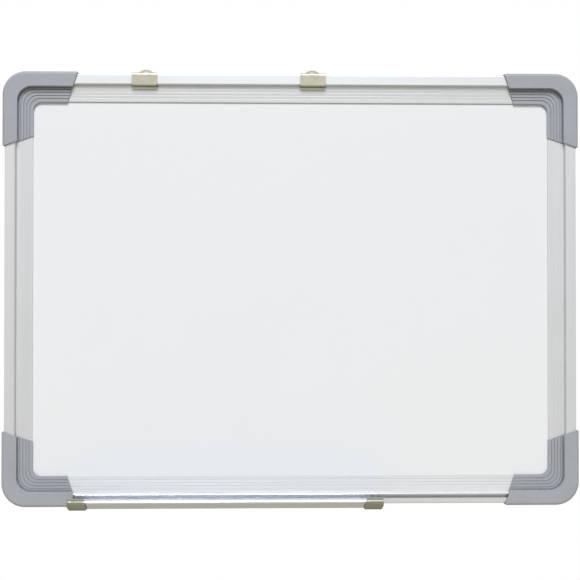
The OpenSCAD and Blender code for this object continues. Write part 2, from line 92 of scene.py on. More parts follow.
# Cosines: an edge below ACROSS runs across an axis, and one from ALONG on runs along it
ACROSS = 0.5
ALONG = 0.999

# Weight of the largest faces in the shading normals, out of 100, so that flat faces stay flat
LARGE_FACE_WEIGHT = 100

# A satin anodised layer scatters light like paint, so that only a part of it looks metallic
SATIN_METALLIC = 0.42
BRIGHT_METALLIC = 1.0
GALVANISED_METALLIC = 0.9

# The die's lines stretch a highlight by LINE_SPREAD, a quarter turn from their own direction.
# TANGENT_LEAN keeps that direction off the normal of every face, and LINE_SQUEEZE shrinks the
# coordinate along a line, which makes the line long.
LINE_SPREAD = 0.25
QUARTER_TURN = 0.25
TANGENT_LEAN = 0.01
LINE_SQUEEZE = 0.01

# The part of a noise that is spread out from 0 to 1: a narrow part gives a hard contrast
LINE_CONTRAST = (0.28, 0.72)
SLOW_CONTRAST = (0.3, 0.7)
PATCH_CONTRAST = (0.35, 0.65)
WIPING_CONTRAST = (0.35, 0.75)
FILM_CONTRAST = (0.42, 0.68)
FLAKE_CONTRAST = (0.56, 0.74)
# Breaks up the painted corner shade
SHADE_BREAKUP_CONTRAST = (0.3, 0.6)

# Cosine between a rounded and a plain normal, from no edge to a full edge
EDGE_AGREEMENT = (0.995, 0.8)
# Open part of the sky above a spot, from no painted corner shade to full painted shade, and how
# much that painted shade is broken up
SHADED_SKY = (0.8, 0.45)
PAINTED_SHADE_COVER = (0.75, 1.0)

# Roughness, from the smoothest to the dullest spots
CORNER_PLASTIC_ROUGHNESS = (0.38, 0.46)
TRAY_PLASTIC_ROUGHNESS = (0.1, 0.16)
FIBRE_ROUGHNESS = (0.75, 0.95)
SPANGLE_ROUGHNESS = (0.34, 0.52)
FLOOR_ROUGHNESS = 0.7

# Parts of the floor's radius where it starts to fade, and where it is gone
FLOOR_FADE_START = 0.5
FLOOR_FADE_END = 0.98
FLOOR_SIDES = 96

# Heights and depths of a direction of length 1 between which the fill's colours blend
LEVEL_BLEND = 0.25
BEHIND_DEPTHS = (0.0, 0.5)
BEHIND_HEIGHTS = (-0.3, 0.1)

SENSOR_WIDTH = 36
NEAREST_SEEN = 0.05
FARTHEST_SEEN = 50


def paint(red, green, blue):
    """An 8-bit screen colour as the linear colour that a shader takes."""

    def linear(level):
        part = level / 255
        return part / 12.92 if part <= 0.04045 else ((part + 0.055) / 1.055) ** 2.4

    return tuple(linear(level) for level in (red, green, blue))


# ---- Settings ----


class WhiteboardFinish(PropertyGroup):
    """Colours and gloss of the finishes."""

    sheet_colour: FloatVectorProperty(
        name="Lacquer",
        description="Colour of the lacquered writing sheet",
        subtype="COLOR",
        default=paint(234, 238, 244),
        min=0,
        max=1,
    )
    sheet_roughness: FloatProperty(
        name="Lacquer roughness",
        description="Roughness of the writing sheet",
        subtype="FACTOR",
        default=0.32,
        min=0,
        max=1,
    )
    rail_colour: FloatVectorProperty(
        name="Anodising",
        description="Colour of the satin anodised rails",
        subtype="COLOR",
        default=paint(208, 211, 215),
        min=0,
        max=1,
    )
    rail_roughness: FloatProperty(
        name="Rail roughness",
        description="Roughness of the anodised rails",
        subtype="FACTOR",
        default=0.37,
        min=0,
        max=1,
    )
    cap_colour: FloatVectorProperty(
        name="Corner plastic",
        description="Colour of the moulded corner caps",
        subtype="COLOR",
        default=paint(162, 167, 176),
        min=0,
        max=1,
    )
    tray_colour: FloatVectorProperty(
        name="Tray anodising",
        description="Colour of the bright anodised pen tray",
        subtype="COLOR",
        default=paint(201, 205, 212),
        min=0,
        max=1,
    )
    tray_roughness: FloatProperty(
        name="Tray roughness",
        description="Roughness of the pen tray",
        subtype="FACTOR",
        default=0.24,
        min=0,
        max=1,
    )
    end_cap_colour: FloatVectorProperty(
        name="Tray cap plastic",
        description="Colour of the tray's end caps",
        subtype="COLOR",
        default=paint(130, 131, 117),
        min=0,
        max=1,
    )
    plating_colour: FloatVectorProperty(
        name="Nickel plating",
        description="Colour of the plated wall hangers",
        subtype="COLOR",
        default=paint(170, 168, 153),
        min=0,
        max=1,
    )
    zinc_colour: FloatVectorProperty(
        name="Zinc plating",
        description="Colour of the corner screws",
        subtype="COLOR",
        default=paint(196, 198, 196),
        min=0,
        max=1,
    )
    fibre_colour: FloatVectorProperty(
        name="Fibre",
        description="Colour of the pressed fibre core",
        subtype="COLOR",
        default=paint(164, 134, 96),
        min=0,
        max=1,
    )
    backing_colour: FloatVectorProperty(
        name="Galvanising",
        description="Colour of the galvanised back sheet",
        subtype="COLOR",
        default=paint(186, 191, 195),
        min=0,
        max=1,
    )


class WhiteboardEdges(PropertyGroup):
    """How far the sharp edges of each kind of piece are broken."""

    rail: FloatProperty(
        name="Rails",
        description="Width of the broken edges of the extrusions",
        subtype="DISTANCE",
        unit="LENGTH",
        default=0.12 * MM,
        min=0,
        precision=5,
    )
    cap: FloatProperty(
        name="Corner caps",
        description="Width of the broken edges of the corner caps",
        subtype="DISTANCE",
        unit="LENGTH",
        default=0.08 * MM,
        min=0,
        precision=5,
    )
    arm_end: FloatProperty(
        name="Arm ends",
        description="Width of the bevel along the slanted ends of the corner caps",
        subtype="DISTANCE",
        unit="LENGTH",
        default=0.55 * MM,
        min=0,
        precision=5,
    )
    strip_nose: FloatProperty(
        name="Tray strip nose",
        description="Rounding of the upper front edge of the tray's strip",
        subtype="DISTANCE",
        unit="LENGTH",
        default=0.4 * MM,
        min=0,
        precision=5,
    )
    steel: FloatProperty(
        name="Hangers and screws",
        description="Width of the broken edges of the steel pieces",
        subtype="DISTANCE",
        unit="LENGTH",
        default=0.1 * MM,
        min=0,
        precision=5,
    )
    end_cap: FloatProperty(
        name="Tray caps",
        description="Width of the rounded edges of the tray's end caps",
        subtype="DISTANCE",
        unit="LENGTH",
        default=0.3 * MM,
        min=0,
        precision=5,
    )
    segments: IntProperty(
        name="Segments",
        description="Faces across each broken edge",
        default=2,
        min=1,
        max=6,
    )


class WhiteboardStage(PropertyGroup):
    """Camera, floor and light."""

    camera_place: FloatVectorProperty(
        name="Camera place",
        description="Where the camera stands, in the board's frame",
        subtype="TRANSLATION",
        unit="LENGTH",
        default=(-0.02892, -0.95, -0.01398),
    )
    camera_turn: FloatProperty(
        name="Camera turn",
        description="Turn of the camera to the right of the board's normal",
        subtype="ANGLE",
        default=math.radians(1.6913),
    )
    camera_rise: FloatProperty(
        name="Camera rise",
        description="Tilt of the camera above level",
        subtype="ANGLE",
        default=math.radians(0.8042),
    )
    camera_lens: FloatProperty(
        name="Focal length",
        description="Focal length on a sensor 36 mm wide",
        subtype="DISTANCE_CAMERA",
        default=82.94,
        min=1,
    )
    floor_drop: FloatProperty(
        name="Floor",
        description="Height of the floor below the board's middle",
        subtype="DISTANCE",
        unit="LENGTH",
        default=0.34,
        min=0.16,
    )
    floor_radius: FloatProperty(
        name="Floor radius",
        description="Reach of the round floor",
        subtype="DISTANCE",
        unit="LENGTH",
        default=1.2,
        min=0.3,
    )
    floor_forward: FloatProperty(
        name="Floor forward",
        description="How far in front of the board the floor's middle lies, below the picture",
        subtype="DISTANCE",
        unit="LENGTH",
        default=0.6,
        min=0,
    )
    floor_colour: FloatVectorProperty(
        name="Floor colour",
        description="Colour of the floor below the board, which the bright metal picks up",
        subtype="COLOR",
        default=paint(217, 208, 183),
        min=0,
        max=1,
    )
    key_power: FloatProperty(
        name="Key light",
        description="Power of the soft box above the camera",
        subtype="POWER",
        unit="POWER",
        default=236.0,
        min=0,
    )
    key_away: FloatProperty(
        name="Key distance",
        description="Distance of the soft box from the board",
        subtype="DISTANCE",
        unit="LENGTH",
        default=5.0,
        min=1,
    )
    key_size: FloatProperty(
        name="Key size",
        description="Side of the soft box, which softens the shadows",
        subtype="DISTANCE",
        unit="LENGTH",
        default=2.0,
        min=0.1,
    )
    key_height: FloatProperty(
        name="Key height",
        description="Height of the key light above level",
        subtype="ANGLE",
        default=math.radians(44),
    )
    key_side: FloatProperty(
        name="Key side",
        description="Turn of the key light to the left of the board's normal",
        subtype="ANGLE",
        default=math.radians(2),
    )
    backdrop_colour: FloatVectorProperty(
        name="Backdrop",
        description="The white studio, as the camera, metal and gloss see it",
        subtype="COLOR",
        default=(1.0, 1.0, 1.0),
        min=0,
        max=1,
    )
    fill_high: FloatVectorProperty(
        name="Fill above",
        description="Soft fill light from above the board's level",
        subtype="COLOR",
        default=(0.17, 0.175, 0.185),
        min=0,
        max=1,
    )
    fill_low: FloatVectorProperty(
        name="Fill below",
        description="Soft fill light from below the board's level",
        subtype="COLOR",
        default=(0.05, 0.05, 0.045),
        min=0,
        max=1,
    )
    fill_behind: FloatVectorProperty(
        name="Fill behind",
        description="Soft fill light from behind the board, for its back",
        subtype="COLOR",
        default=(0.5, 0.5, 0.5),
        min=0,
        max=1,
    )


# ---- Shader building ----


def fill_sockets(tree, node, sockets):
    """Links each input socket to another node's output, or gives it a plain value."""
    for socket, value in sockets.items():
        if isinstance(value, bpy.types.NodeSocket):
            tree.links.new(value, node.inputs[socket])
        else:
            node.inputs[socket].default_value = value


def shader_node(tree, kind, sockets=None, **options):
    """Adds a node, sets its options, and fills or links its input sockets."""
    node = tree.nodes.new(kind)
    for name, value in options.items():
        setattr(node, name, value)
    fill_sockets(tree, node, sockets or {})
    return node


def maths(tree, operation, first, second):
    """Works out one number from two."""
    return shader_node(
        tree, "ShaderNodeMath", {0: first, 1: second}, operation=operation
    ).outputs[0]


def vector_maths(tree, operation, first, second):
    """Works out a vector, or a number, from two vectors."""
    return shader_node(
        tree, "ShaderNodeVectorMath", {0: first, 1: second}, operation=operation
    ).outputs


def spread(tree, value, low, high, to_low=0.0, to_high=1.0):
    """Maps low..high to another range, held at both ends."""
    sockets = {0: value, 1: low, 2: high, 3: to_low, 4: to_high}
    return shader_node(tree, "ShaderNodeMapRange", sockets, clamp=True).outputs[0]


def around(tree, pattern, level, below, above):
    """Moves a level down by below where a pattern is 0, and up by above where it is 1."""
    return spread(tree, pattern, 0, 1, level - below, level + above)


def tinted(tree, amount, first, second):
    """Mixes two colours: the first at 0 and the second at 1."""
    sockets = {0: amount, 6: first, 7: second}
    return shader_node(tree, "ShaderNodeMix", sockets, data_type="RGBA").outputs[2]


def overlaid(tree, mask, under, over, strength):
    """Lays one colour over another where the mask is 1, at most at this strength."""
    return tinted(tree, maths(tree, "MULTIPLY", mask, strength), under, over)


def scaled(colour, part):
    """A colour made darker, or brighter where part is over 1."""
    return (*[min(1.0, level * part) for level in colour], 1.0)


def noise(tree, where, scale, detail=2.0, roughness=0.5):
    """Cloudy noise from 0 to 1, with about scale clouds per metre."""
    sockets = {"Vector": where, "Scale": scale, "Detail": detail, "Roughness": roughness}
    return shader_node(tree, "ShaderNodeTexNoise", sockets).outputs[0]


def stretched(tree, where, factors):
    """Coordinates with each axis multiplied by its own factor."""
    return shader_node(tree, "ShaderNodeMapping", {"Vector": where, "Scale": factors}).outputs[0]


def group_tree(name, inputs, outputs):
    """An empty shader group with its sockets, and its input and output nodes."""
    tree = bpy.data.node_groups.new(name, "ShaderNodeTree")
    for label, (kind, value) in inputs.items():
        socket = tree.interface.new_socket(label, in_out="INPUT", socket_type=kind)
        if value is not None:
            socket.default_value = value
    for label in outputs:
        tree.interface.new_socket(label, in_out="OUTPUT", socket_type="NodeSocketFloat")
    return tree, tree.nodes.new("NodeGroupInput").outputs, tree.nodes.new("NodeGroupOutput")


def drawn_lines(name):
    """Fine lines that a die or a brush leaves along one direction, with slow changes across."""
    tree, given, result = group_tree(
        name,
        {
            "Vector": ("NodeSocketVector", None),
            "Stretch": ("NodeSocketVector", (1.0, 1.0, 1.0)),
            "Fineness": ("NodeSocketFloat", 900.0),
        },
        ("Lines", "Bands"),
    )
    along = vector_maths(tree, "MULTIPLY", given["Vector"], given["Stretch"])[0]
    lines = noise(tree, along, given["Fineness"], detail=3.0, roughness=0.65)
    slow = maths(tree, "MULTIPLY", given["Fineness"], 0.16)
    bands = noise(tree, along, slow, detail=1.0)
    fill_sockets(
        tree,
        result,
        {
            "Lines": spread(tree, lines, *LINE_CONTRAST),
            "Bands": spread(tree, bands, *SLOW_CONTRAST),
        },
    )
    return tree


def worn_and_highlit_edges(name):
    """A mask of the outer edges, broken up as handling wears them. The finishes lighten these
    edges, as wear and as a painted edge highlight.
    """
    tree, given, result = group_tree(
        name,
        {
            "Vector": ("NodeSocketVector", None),
            "Reach": ("NodeSocketFloat", 0.4 * MM),
            "Break Up": ("NodeSocketFloat", 700.0),
        },
        ("Mask",),
    )
    rounded = shader_node(tree, "ShaderNodeBevel", {"Radius": given["Reach"]}, samples=4)
    flat = shader_node(tree, "ShaderNodeNewGeometry")
    agree = vector_maths(tree, "DOT_PRODUCT", rounded.outputs[0], flat.outputs["Normal"])["Value"]
    edge = spread(tree, agree, *EDGE_AGREEMENT)
    patch = spread(tree, noise(tree, given["Vector"], given["Break Up"]), *PATCH_CONTRAST)
    fill_sockets(tree, result, {"Mask": maths(tree, "MULTIPLY", edge, patch)})
    return tree


def moulded_grain(name):
    """The fine even texture of a spark-eroded mould, and the slow flow marks of the plastic."""
    tree, given, result = group_tree(
        name,
        {
            "Vector": ("NodeSocketVector", None),
            "Grain": ("NodeSocketFloat", 2600.0),
            "Flow": ("NodeSocketFloat", 60.0),
        },
        ("Grain", "Flow"),
    )
    flow = noise(tree, given["Vector"], given["Flow"], detail=3.0)
    fill_sockets(
        tree,
        result,
        {
            "Grain": noise(tree, given["Vector"], given["Grain"]),
            "Flow": spread(tree, flow, *SLOW_CONTRAST),
        },
    )
    return tree


def handling_film(name):
    """Where hands and cloths have left a faint film: 0 is clean and 1 is dulled."""
    tree, given, result = group_tree(
        name,
        {
            "Vector": ("NodeSocketVector", None),
            "Size": ("NodeSocketFloat", 18.0),
        },
        ("Film",),
    )
    broad = noise(tree, given["Vector"], given["Size"], detail=4.0, roughness=0.6)
    fill_sockets(tree, result, {"Film": spread(tree, broad, *FILM_CONTRAST)})
    return tree


def corner_painted_shade(name):
    """Painted shade in the inner corners, found by ambient occlusion and broken up by noise: 0 is
    open surface and 1 is the corner itself.
    """
    tree, given, result = group_tree(
        name,
        {
            "Vector": ("NodeSocketVector", None),
            "Reach": ("NodeSocketFloat", 2.5 * MM),
        },
        ("Painted Shade",),
    )
    sockets = {"Distance": given["Reach"]}
    open_sky = shader_node(tree, "ShaderNodeAmbientOcclusion", sockets, samples=8)
    corner = spread(tree, open_sky.outputs["AO"], *SHADED_SKY)
    uneven = noise(tree, given["Vector"], 300.0, detail=3.0)
    broken = spread(tree, uneven, *SHADE_BREAKUP_CONTRAST, *PAINTED_SHADE_COVER)
    fill_sockets(tree, result, {"Painted Shade": maths(tree, "MULTIPLY", corner, broken)})
    return tree


def use_group(tree, build, sockets):
    """The outputs of a shader group, which is built when it is first asked for."""
    name = build.__name__
    group = bpy.data.node_groups.get(name) or build(name)
    return shader_node(tree, "ShaderNodeGroup", sockets, node_tree=group).outputs


def new_finish(name):
    """An empty material with its Principled shader, and where its surface lies."""
    material = bpy.data.materials.new(name)
    material.use_nodes = True
    tree = material.node_tree
    where = shader_node(tree, "ShaderNodeTexCoord").outputs["Object"]
    return material, tree, tree.nodes["Principled BSDF"], where


def bumped(tree, height, distance, strength):
    """Normals for a surface that a pattern raises by up to distance."""
    sockets = {"Height": height, "Distance": distance, "Strength": strength}
    return shader_node(tree, "ShaderNodeBump", sockets).outputs[0]


# ---- Finishes ----


def lacquer_finish(finish):
    """White lacquer baked on steel: a slight roller texture and a faint film from wiping."""
    material, tree, shader, where = new_finish("white_lacquer")
    colour = finish.sheet_colour
    film = use_group(tree, handling_film, {"Vector": where, "Size": 9.0})["Film"]
    # A cloth wipes sideways, so the strokes are long in X and close together in Z
    wiped = noise(tree, stretched(tree, where, (5.0, 1.0, 22.0)), 1.0, detail=4.0)
    haze = maths(tree, "MULTIPLY", film, spread(tree, wiped, *WIPING_CONTRAST))
    roller = noise(tree, where, 420.0, detail=1.0)
    fill_sockets(
        tree,
        shader,
        {
            "Base Color": tinted(tree, haze, scaled(colour, 1), scaled(colour, 0.975)),
            "Roughness": around(tree, haze, finish.sheet_roughness, below=0, above=0.12),
            "Normal": bumped(tree, roller, distance=0.02 * MM, strength=0.12),
            "Coat Weight": 0.15,
            "Coat Roughness": 0.12,
        },
    )
    return material


def extruded_finish(name, length_axis, colour, roughness, metallic, line_depth, painted_shade_depth):
    """Anodised aluminium, with the die's lines running along the extrusion.

    length_axis is (1, 0, 0) or (0, 0, 1). The lines spread a highlight across that axis.
    """
    material, tree, shader, where = new_finish(name)
    stretch = [LINE_SQUEEZE if along else 1.0 for along in length_axis]
    lengthwise = dict(enumerate(along + TANGENT_LEAN for along in length_axis))
    drawn = use_group(
        tree, drawn_lines, {"Vector": where, "Stretch": stretch, "Fineness": 1400.0}
    )
    wear_and_highlight = use_group(tree, worn_and_highlit_edges, {"Vector": where, "Reach": 0.25 * MM})["Mask"]
    film = use_group(tree, handling_film, {"Vector": where, "Size": 26.0})["Film"]
    corner_shade = use_group(tree, corner_painted_shade, {"Vector": where})["Painted Shade"]
    lined = tinted(tree, drawn["Bands"], scaled(colour, 1), scaled(colour, 0.95))
    filmed = overlaid(tree, film, lined, scaled(colour, 0.88), strength=0.35)
    # The outer edges are lightened as handling wear and as a painted edge highlight
    edged = overlaid(tree, wear_and_highlight, filmed, scaled(colour, 1.08), strength=0.6)
    dulled = maths(tree, "MULTIPLY", film, 0.06)
    lined_rough = around(tree, drawn["Lines"], roughness, below=0.05, above=0.06)
    fill_sockets(
        tree,
        shader,
        {
            # Painted shade darkens the inner corners, by up to the depth given
            "Base Color": overlaid(tree, corner_shade, edged, scaled(colour, 1 - painted_shade_depth), painted_shade_depth),
            "Roughness": maths(tree, "ADD", lined_rough, dulled),
            "Metallic": metallic,
            "Normal": bumped(tree, drawn["Lines"], line_depth, strength=0.25),
            "Tangent": shader_node(tree, "ShaderNodeCombineXYZ", lengthwise).outputs[0],
            "Anisotropic": LINE_SPREAD,
            "Anisotropic Rotation": QUARTER_TURN,
        },
    )
    return material


def corner_plastic_finish(finish):
    """Silver-grey moulded plastic with a fine spark texture."""
    material, tree, shader, where = new_finish("corner_plastic")
    colour = finish.cap_colour
    grain = use_group(tree, moulded_grain, {"Vector": where})
    wear_and_highlight = use_group(tree, worn_and_highlit_edges, {"Vector": where, "Reach": 0.35 * MM})["Mask"]
    corner_shade = use_group(tree, corner_painted_shade, {"Vector": where})["Painted Shade"]
    flowed = tinted(tree, grain["Flow"], scaled(colour, 0.965), scaled(colour, 1.03))
    flakes = spread(tree, grain["Grain"], *FLAKE_CONTRAST)
    silvered = overlaid(tree, flakes, flowed, scaled(colour, 1.3), strength=0.3)
    # The outer edges are lightened as handling wear and as a painted edge highlight
    edged = overlaid(tree, wear_and_highlight, silvered, scaled(colour, 1.25), strength=0.45)
    fill_sockets(
        tree,
        shader,
        {
            # Painted shade darkens the inner corners nearly to black
            "Base Color": overlaid(tree, corner_shade, edged, scaled(colour, 0.12), strength=1.0),
            "Roughness": spread(tree, grain["Flow"], 0, 1, *CORNER_PLASTIC_ROUGHNESS),
            "Normal": bumped(tree, grain["Grain"], distance=0.03 * MM, strength=0.3),
            "Specular IOR Level": 0.35,
        },
    )
    return material


def tray_plastic_finish(finish):
    """The grey plastic of the tray's end caps, glossier than the corners."""
    material, tree, shader, where = new_finish("tray_cap_plastic")
    colour = finish.end_cap_colour
    grain = use_group(tree, moulded_grain, {"Vector": where, "Grain": 1800.0, "Flow": 140.0})
    wear_and_highlight = use_group(tree, worn_and_highlit_edges, {"Vector": where, "Reach": 0.4 * MM})["Mask"]
    flowed = tinted(tree, grain["Flow"], scaled(colour, 0.95), scaled(colour, 1.04))
    fill_sockets(
        tree,
        shader,
        {
            # The outer edges are lightened as handling wear and as a painted edge highlight
            "Base Color": overlaid(tree, wear_and_highlight, flowed, scaled(colour, 1.25), strength=0.4),
            "Roughness": spread(tree, grain["Flow"], 0, 1, *TRAY_PLASTIC_ROUGHNESS),
            "Normal": bumped(tree, grain["Grain"], distance=0.02 * MM, strength=0.2),
        },
    )
    return material


def plated_finish(name, colour, roughness, stretch, cloud):
    """Plated steel: faint rolling lines under the plating, and slow clouding.

    stretch is small along the axes that the lines follow, and cloud is how close the clouds are.
    """
    material, tree, shader, where = new_finish(name)
    drawn = use_group(
        tree, drawn_lines, {"Vector": where, "Stretch": stretch, "Fineness": 2200.0}
    )
    wear_and_highlight = use_group(tree, worn_and_highlit_edges, {"Vector": where, "Reach": 0.2 * MM})["Mask"]
    film = use_group(tree, handling_film, {"Vector": where, "Size": cloud})["Film"]
    corner_shade = use_group(tree, corner_painted_shade, {"Vector": where, "Reach": 1.5 * MM})["Painted Shade"]
    clouded = tinted(tree, film, scaled(colour, 1), scaled(colour, 0.86))
    # The outer edges are lightened as handling wear and as a painted edge highlight
    edged = overlaid(tree, wear_and_highlight, clouded, scaled(colour, 1.15), strength=0.7)
    fill_sockets(
        tree,
        shader,
        {
            # Painted shade darkens the inner corners and folds
            "Base Color": overlaid(tree, corner_shade, edged, scaled(colour, 0.2), strength=0.9),
            "Roughness": around(tree, drawn["Lines"], roughness, below=0.01, above=0.02),
            "Metallic": BRIGHT_METALLIC,
            "Normal": bumped(tree, drawn["Lines"], distance=0.002 * MM, strength=0.08),
        },
    )
    return material


def fibre_finish(finish):
    """Pressed wood fibre: short strands lying every way over a dull ground."""
    material, tree, shader, where = new_finish("pressed_fibre")
    colour = finish.fibre_colour
    pressed = stretched(tree, where, (1.0, 1.0, 3.0))
    strands = noise(tree, pressed, 700.0, detail=5.0, roughness=0.7)
    clumps = noise(tree, where, 90.0, detail=3.0)
    paler = spread(tree, strands, *PATCH_CONTRAST)
    stranded = tinted(tree, paler, scaled(colour, 0.7), scaled(colour, 1.2))
    fill_sockets(
        tree,
        shader,
        {
            "Base Color": overlaid(tree, clumps, stranded, scaled(colour, 0.8), strength=0.5),
            "Roughness": spread(tree, strands, *SLOW_CONTRAST, *FIBRE_ROUGHNESS),
            "Normal": bumped(tree, strands, distance=0.1 * MM, strength=0.5),
        },
    )
    return material


def galvanised_finish(finish):
    """Galvanised steel with its spangle of zinc crystals."""
    material, tree, shader, where = new_finish("galvanised_steel")
    colour = finish.backing_colour
    # The crystals' straight borders are bent by a few millimetres
    bend = maths(tree, "MULTIPLY", noise(tree, where, 55.0), 6 * MM)
    bent = vector_maths(tree, "ADD", where, bend)[0]
    sockets = {"Vector": bent, "Scale": 130.0, "Randomness": 1.0}
    crystals = shader_node(tree, "ShaderNodeTexVoronoi", sockets).outputs["Color"]
    tone = shader_node(tree, "ShaderNodeSeparateColor", {0: crystals}).outputs[0]
    fill_sockets(
        tree,
        shader,
        {
            "Base Color": tinted(tree, tone, scaled(colour, 0.78), scaled(colour, 1.12)),
            "Roughness": spread(tree, tone, 0, 1, *SPANGLE_ROUGHNESS),
            "Metallic": GALVANISED_METALLIC,
            "Normal": bumped(tree, tone, distance=0.01 * MM, strength=0.15),
        },
    )
    return material


# ---- Pieces ----


def dress(name, material):
    """Gives a CAD node its material."""
    slots = NODES[name].material_slots
    for slot in slots:
        slot.material = material
    if not slots:
        NODES[name].data.materials.append(material)


def body_named(name):
    """The CAD body that holds a node."""
    for body, nodes in frame["record"]["behaviour"]["bodies"].items():
        if name in nodes:
            return body
    raise RuntimeError(f"no body holds {name}")


def softened(node_name, label, material, width, segments, heavy=None):
    """Shows a welded copy of a CAD node in its place, with its sharp edges broken.

    heavy is None, or (a test of an edge, its own width) for the edges that get more.
    """
    shape = bmesh.new()
    shape.from_mesh(NODES[node_name].data)
    bmesh.ops.remove_doubles(shape, verts=shape.verts, dist=WELD)
    bmesh.ops.dissolve_limit(shape, angle_limit=FLAT, verts=shape.verts, edges=shape.edges)
    bmesh.ops.recalc_face_normals(shape, faces=shape.faces)
    weight = shape.edges.layers.float.new("bevel_weight_edge")
    is_heavy, heavy_width = heavy or (lambda edge: False, 0)
    widest = max(width, heavy_width)
    for edge in shape.edges:
        if len(edge.link_faces) == 2 and edge.calc_face_angle(0) >= CREASE:
            edge[weight] = (heavy_width if is_heavy(edge) else width) / widest
    for face in shape.faces:
        face.smooth = True
    mesh = bpy.data.meshes.new(label)
    shape.to_mesh(mesh)
    shape.free()
    mesh.materials.append(material)
    piece = bpy.data.objects.new(label, mesh)
    bpy.context.scene.collection.objects.link(piece)
    bevel = piece.modifiers.new("broken_edges", "BEVEL")
    bevel.width = widest
    bevel.segments = segments
    bevel.limit_method = "WEIGHT"
    bevel.use_clamp_overlap = True
    weld = piece.modifiers.new("slivers_closed", "WELD")
    weld.merge_threshold = WELD
    flat = piece.modifiers.new("flat_faces_stay_flat", "WEIGHTED_NORMAL")
    flat.weight = LARGE_FACE_WEIGHT
    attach(piece, body_named(node_name))
    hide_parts(node_name)


class WHITEBOARD_OT_panel_layers(Operator):
    """Finish the writing sheet, the fibre core and the galvanised back sheet"""

    bl_idname = "whiteboard.panel_layers"
    bl_label = "Panel Layers"

    def execute(self, context):
        finish = context.scene.whiteboard_finish
        dress("writing_sheet", lacquer_finish(finish))
        dress("core_board", fibre_finish(finish))
        dress("back_sheet", galvanised_finish(finish))
        return {"FINISHED"}


class WHITEBOARD_OT_rails(Operator):
    """Finish the four extruded rails"""

    bl_idname = "whiteboard.rails"
    bl_label = "Rails"

    def execute(self, context):
        finish = context.scene.whiteboard_finish
        edges = context.scene.whiteboard_edges
        for names, label, length_axis in (
            (SIDEWAYS_RAILS, "anodised_sideways", (1, 0, 0)),
            (UPRIGHT_RAILS, "anodised_upright", (0, 0, 1)),
        ):
            material = extruded_finish(
                label,
                length_axis,
                colour=finish.rail_colour,
                roughness=finish.rail_roughness,
                metallic=SATIN_METALLIC,
                line_depth=0.012 * MM,
                # How dark the painted shade in the rails' inner corners is
                painted_shade_depth=0.6,
            )
            for name in names:
                softened(name, f"{name}_extrusion", material, edges.rail, edges.segments)
        return {"FINISHED"}


def on_arm_end(corner):
    """A test for the edges of a corner cap's slanted arm ends."""
    low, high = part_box(f"corner_cap_{corner}")
    centre = (Vector(low) + Vector(high)) / 2
    board = (CAD_BOX[0] + CAD_BOX[1]) / 2
    axes = (0, 2)
    inward = [1 if board[axis] > centre[axis] else -1 for axis in axes]
    outer = [low[axis] if sign > 0 else high[axis] for axis, sign in zip(axes, inward)]
    reach = (high[0] - low[0]) * ARM_END_FROM

    def test(edge):
        for vert in edge.verts:
            depths = [
                (vert.co[axis] - start) * sign for axis, start, sign in zip(axes, outer, inward)
            ]
            if max(depths) < reach:
                return False
        way = (edge.verts[1].co - edge.verts[0].co).normalized()
        return abs(way.y) < ACROSS and max(abs(way.x), abs(way.z)) < ALONG

    return test


class WHITEBOARD_OT_corner_caps(Operator):
    """Finish the four corner caps, with a bevel along their slanted arm ends"""

    bl_idname = "whiteboard.corner_caps"
    bl_label = "Corner Caps"

    def execute(self, context):
        edges = context.scene.whiteboard_edges
        material = corner_plastic_finish(context.scene.whiteboard_finish)
        for corner in CORNERS:
            softened(
                f"corner_cap_{corner}",
                f"moulded_corner_{corner}",
                material,
                edges.cap,
                edges.segments,
                heavy=(on_arm_end(corner), edges.arm_end),
            )
        return {"FINISHED"}


class WHITEBOARD_OT_corner_screws(Operator):
    """Finish the screws that hold the corner caps"""

    bl_idname = "whiteboard.corner_screws"
    bl_label = "Corner Screws"

    def execute(self, context):
        finish = context.scene.whiteboard_finish
        edges = context.scene.whiteboard_edges
        material = plated_finish(
            "zinc_plate", finish.zinc_colour, roughness=0.36, stretch=(1.0, 1.0, 1.0), cloud=400.0
        )
        for corner in CORNERS:
            name = f"corner_screws_{corner}"
            softened(name, f"pan_head_{name}", material, edges.steel, edges.segments)
        return {"FINISHED"}


class WHITEBOARD_OT_hangers(Operator):
    """Finish the two sliding wall hangers"""

    bl_idname = "whiteboard.hangers"
    bl_label = "Wall Hangers"

    def execute(self, context):
        finish = context.scene.whiteboard_finish
        edges = context.scene.whiteboard_edges
        material = plated_finish(
            "nickel_plate",
            finish.plating_colour,
            roughness=0.34,
            stretch=(1.0, 0.1, 0.1),
            cloud=120.0,
        )
        for name in HANGERS:
            softened(name, f"{name}_strip", material, edges.steel, edges.segments)
        return {"FINISHED"}


def on_strip_nose():
    """A test for the upper front edge of the strip that the tray hangs from."""
    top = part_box("pen_tray")[1][2]
    upper = [vert.co for vert in NODES["pen_tray"].data.vertices if top - vert.co.z < WELD]
    front = min(place.y for place in upper)

    def test(edge):
        return all(top - vert.co.z < WELD and vert.co.y - front < WELD for vert in edge.verts)

    return test


class WHITEBOARD_OT_pen_tray(Operator):
    """Finish the pen tray and its two end caps"""

    bl_idname = "whiteboard.pen_tray"
    bl_label = "Pen Tray"

    def execute(self, context):
        finish = context.scene.whiteboard_finish
        edges = context.scene.whiteboard_edges
        material = extruded_finish(
            "bright_anodised_tray",
            (1, 0, 0),
            colour=finish.tray_colour,
            roughness=finish.tray_roughness,
            metallic=BRIGHT_METALLIC,
            line_depth=0.006 * MM,
            # How dark the painted shade in the tray's inner corners is
            painted_shade_depth=0.8,
        )
        softened(
            "pen_tray",
            "tray_extrusion",
            material,
            edges.rail,
            edges.segments + 2,
            heavy=(on_strip_nose(), edges.strip_nose),
        )
        plastic = tray_plastic_finish(finish)
        for name in TRAY_CAPS:
            softened(name, f"{name}_moulding", plastic, edges.end_cap, edges.segments + 1)
        return {"FINISHED"}


# ---- Stage ----


